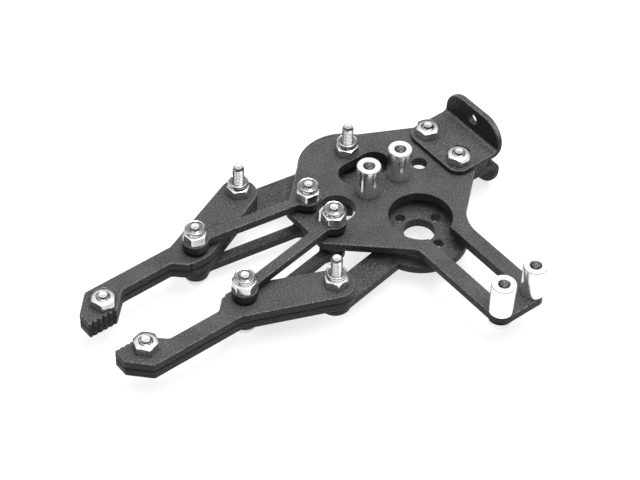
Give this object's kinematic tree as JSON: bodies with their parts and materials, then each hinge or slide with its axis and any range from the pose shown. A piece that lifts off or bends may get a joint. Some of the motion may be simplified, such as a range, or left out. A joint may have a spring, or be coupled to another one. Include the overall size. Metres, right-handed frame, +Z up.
{
  "type": "parallel robot gripper",
  "caption": "Flat black servo gripper: geared arms and links swing two serrated jaws that stay parallel, under a palm plate with servo posts and wrist brackets.",
  "frame": {"origin": "servo axis, in the top face of the palm plate", "axes": "+Z up out of the palm plate towards the servo side, -Y towards the jaw tips, +X along the servo frame"},
  "size_m": [0.0793, 0.1153, 0.0211],
  "materials": {
    "black_plate": "fine-grained black powder coat on aluminium plate, edges a little polished by handling",
    "black_spacer": "black turned aluminium ring, satin",
    "turned_aluminium": "bright turned aluminium with fine lathe marks",
    "screw_steel": "nickel-plated steel, rolled thread",
    "nut_steel": "bright nickel-plated steel with rounded corners"
  },
  "bodies": {
    "palm": {"palm_plate": "black_plate", "servo_standoff_1": "turned_aluminium", "servo_standoff_2": "turned_aluminium", "servo_standoff_3": "turned_aluminium", "servo_standoff_4": "turned_aluminium", "standoff_screws": "screw_steel", "upper_wrist_bracket": "black_plate", "lower_wrist_bracket": "black_plate", "bracket_screws": "screw_steel", "bracket_nuts": "nut_steel", "driven_gear_screw": "screw_steel", "driven_gear_spacer": "black_spacer", "driven_gear_lock_nut": "nut_steel", "link_pivot_screw_right": "screw_steel", "link_pivot_upper_spacer_right": "black_spacer", "link_pivot_lower_spacer_right": "black_spacer", "link_pivot_lock_nut_right": "nut_steel", "link_pivot_screw_left": "screw_steel", "link_pivot_upper_spacer_left": "black_spacer", "link_pivot_lower_spacer_left": "black_spacer", "link_pivot_lock_nut_left": "nut_steel"},
    "drive_arm": {"drive_gear_arm": "black_plate"},
    "driven_arm": {"driven_gear_arm": "black_plate"},
    "right_links": {"upper_link_right": "black_plate", "lower_link_right": "black_plate"},
    "right_jaw": {"jaw_upper_plate_right": "black_plate", "jaw_lower_plate_right": "black_plate", "jaw_pivot_screw_right": "screw_steel", "jaw_pivot_lock_nut_right": "nut_steel", "link_joint_screw_right": "screw_steel", "link_joint_upper_spacer_right": "black_spacer", "link_joint_lower_spacer_right": "black_spacer", "link_joint_lock_nut_right": "nut_steel", "jaw_tip_screw_right": "screw_steel", "jaw_tip_nut_right": "nut_steel"},
    "left_links": {"upper_link_left": "black_plate", "lower_link_left": "black_plate"},
    "left_jaw": {"jaw_upper_plate_left": "black_plate", "jaw_lower_plate_left": "black_plate", "jaw_pivot_screw_left": "screw_steel", "jaw_pivot_lock_nut_left": "nut_steel", "link_joint_screw_left": "screw_steel", "link_joint_upper_spacer_left": "black_spacer", "link_joint_lower_spacer_left": "black_spacer", "link_joint_lock_nut_left": "nut_steel", "jaw_tip_screw_left": "screw_steel", "jaw_tip_nut_left": "nut_steel"}
  },
  "joints": [
    {"name": "drive_gear_turn", "type": "hinge", "parent": "palm", "child": "drive_arm", "pos_m": [0, 0, -0.00635], "axis": [0, 0, 1], "range_deg": [-9, 51]},
    {"name": "driven_gear_turn", "type": "hinge", "parent": "palm", "child": "driven_arm", "pos_m": [-0.0288, 0, -0.00635], "axis": [0, 0, 1], "range_deg": [-51, 9]},
    {"name": "right_links_swing", "type": "hinge", "parent": "palm", "child": "right_links", "pos_m": [-0.0094, -0.02, -0.0025], "axis": [0, 0, 1], "range_deg": [-9, 51]},
    {"name": "right_jaw_turn", "type": "hinge", "parent": "drive_arm", "child": "right_jaw", "pos_m": [0.00485, -0.03062, -0.005], "axis": [0, 0, 1], "range_deg": [-51, 9]},
    {"name": "left_links_swing", "type": "hinge", "parent": "palm", "child": "left_links", "pos_m": [-0.0194, -0.02, -0.0025], "axis": [0, 0, 1], "range_deg": [-51, 9]},
    {"name": "left_jaw_turn", "type": "hinge", "parent": "driven_arm", "child": "left_jaw", "pos_m": [-0.03365, -0.03062, -0.005], "axis": [0, 0, 1], "range_deg": [-9, 51]}
  ],
  "couplings": [
    {"joint": "driven_gear_turn", "follows": "drive_gear_turn", "ratio": -1},
    {"joint": "right_links_swing", "follows": "drive_gear_turn", "ratio": 1},
    {"joint": "right_jaw_turn", "follows": "drive_gear_turn", "ratio": -1},
    {"joint": "left_links_swing", "follows": "drive_gear_turn", "ratio": -1},
    {"joint": "left_jaw_turn", "follows": "drive_gear_turn", "ratio": 1}
  ]
}
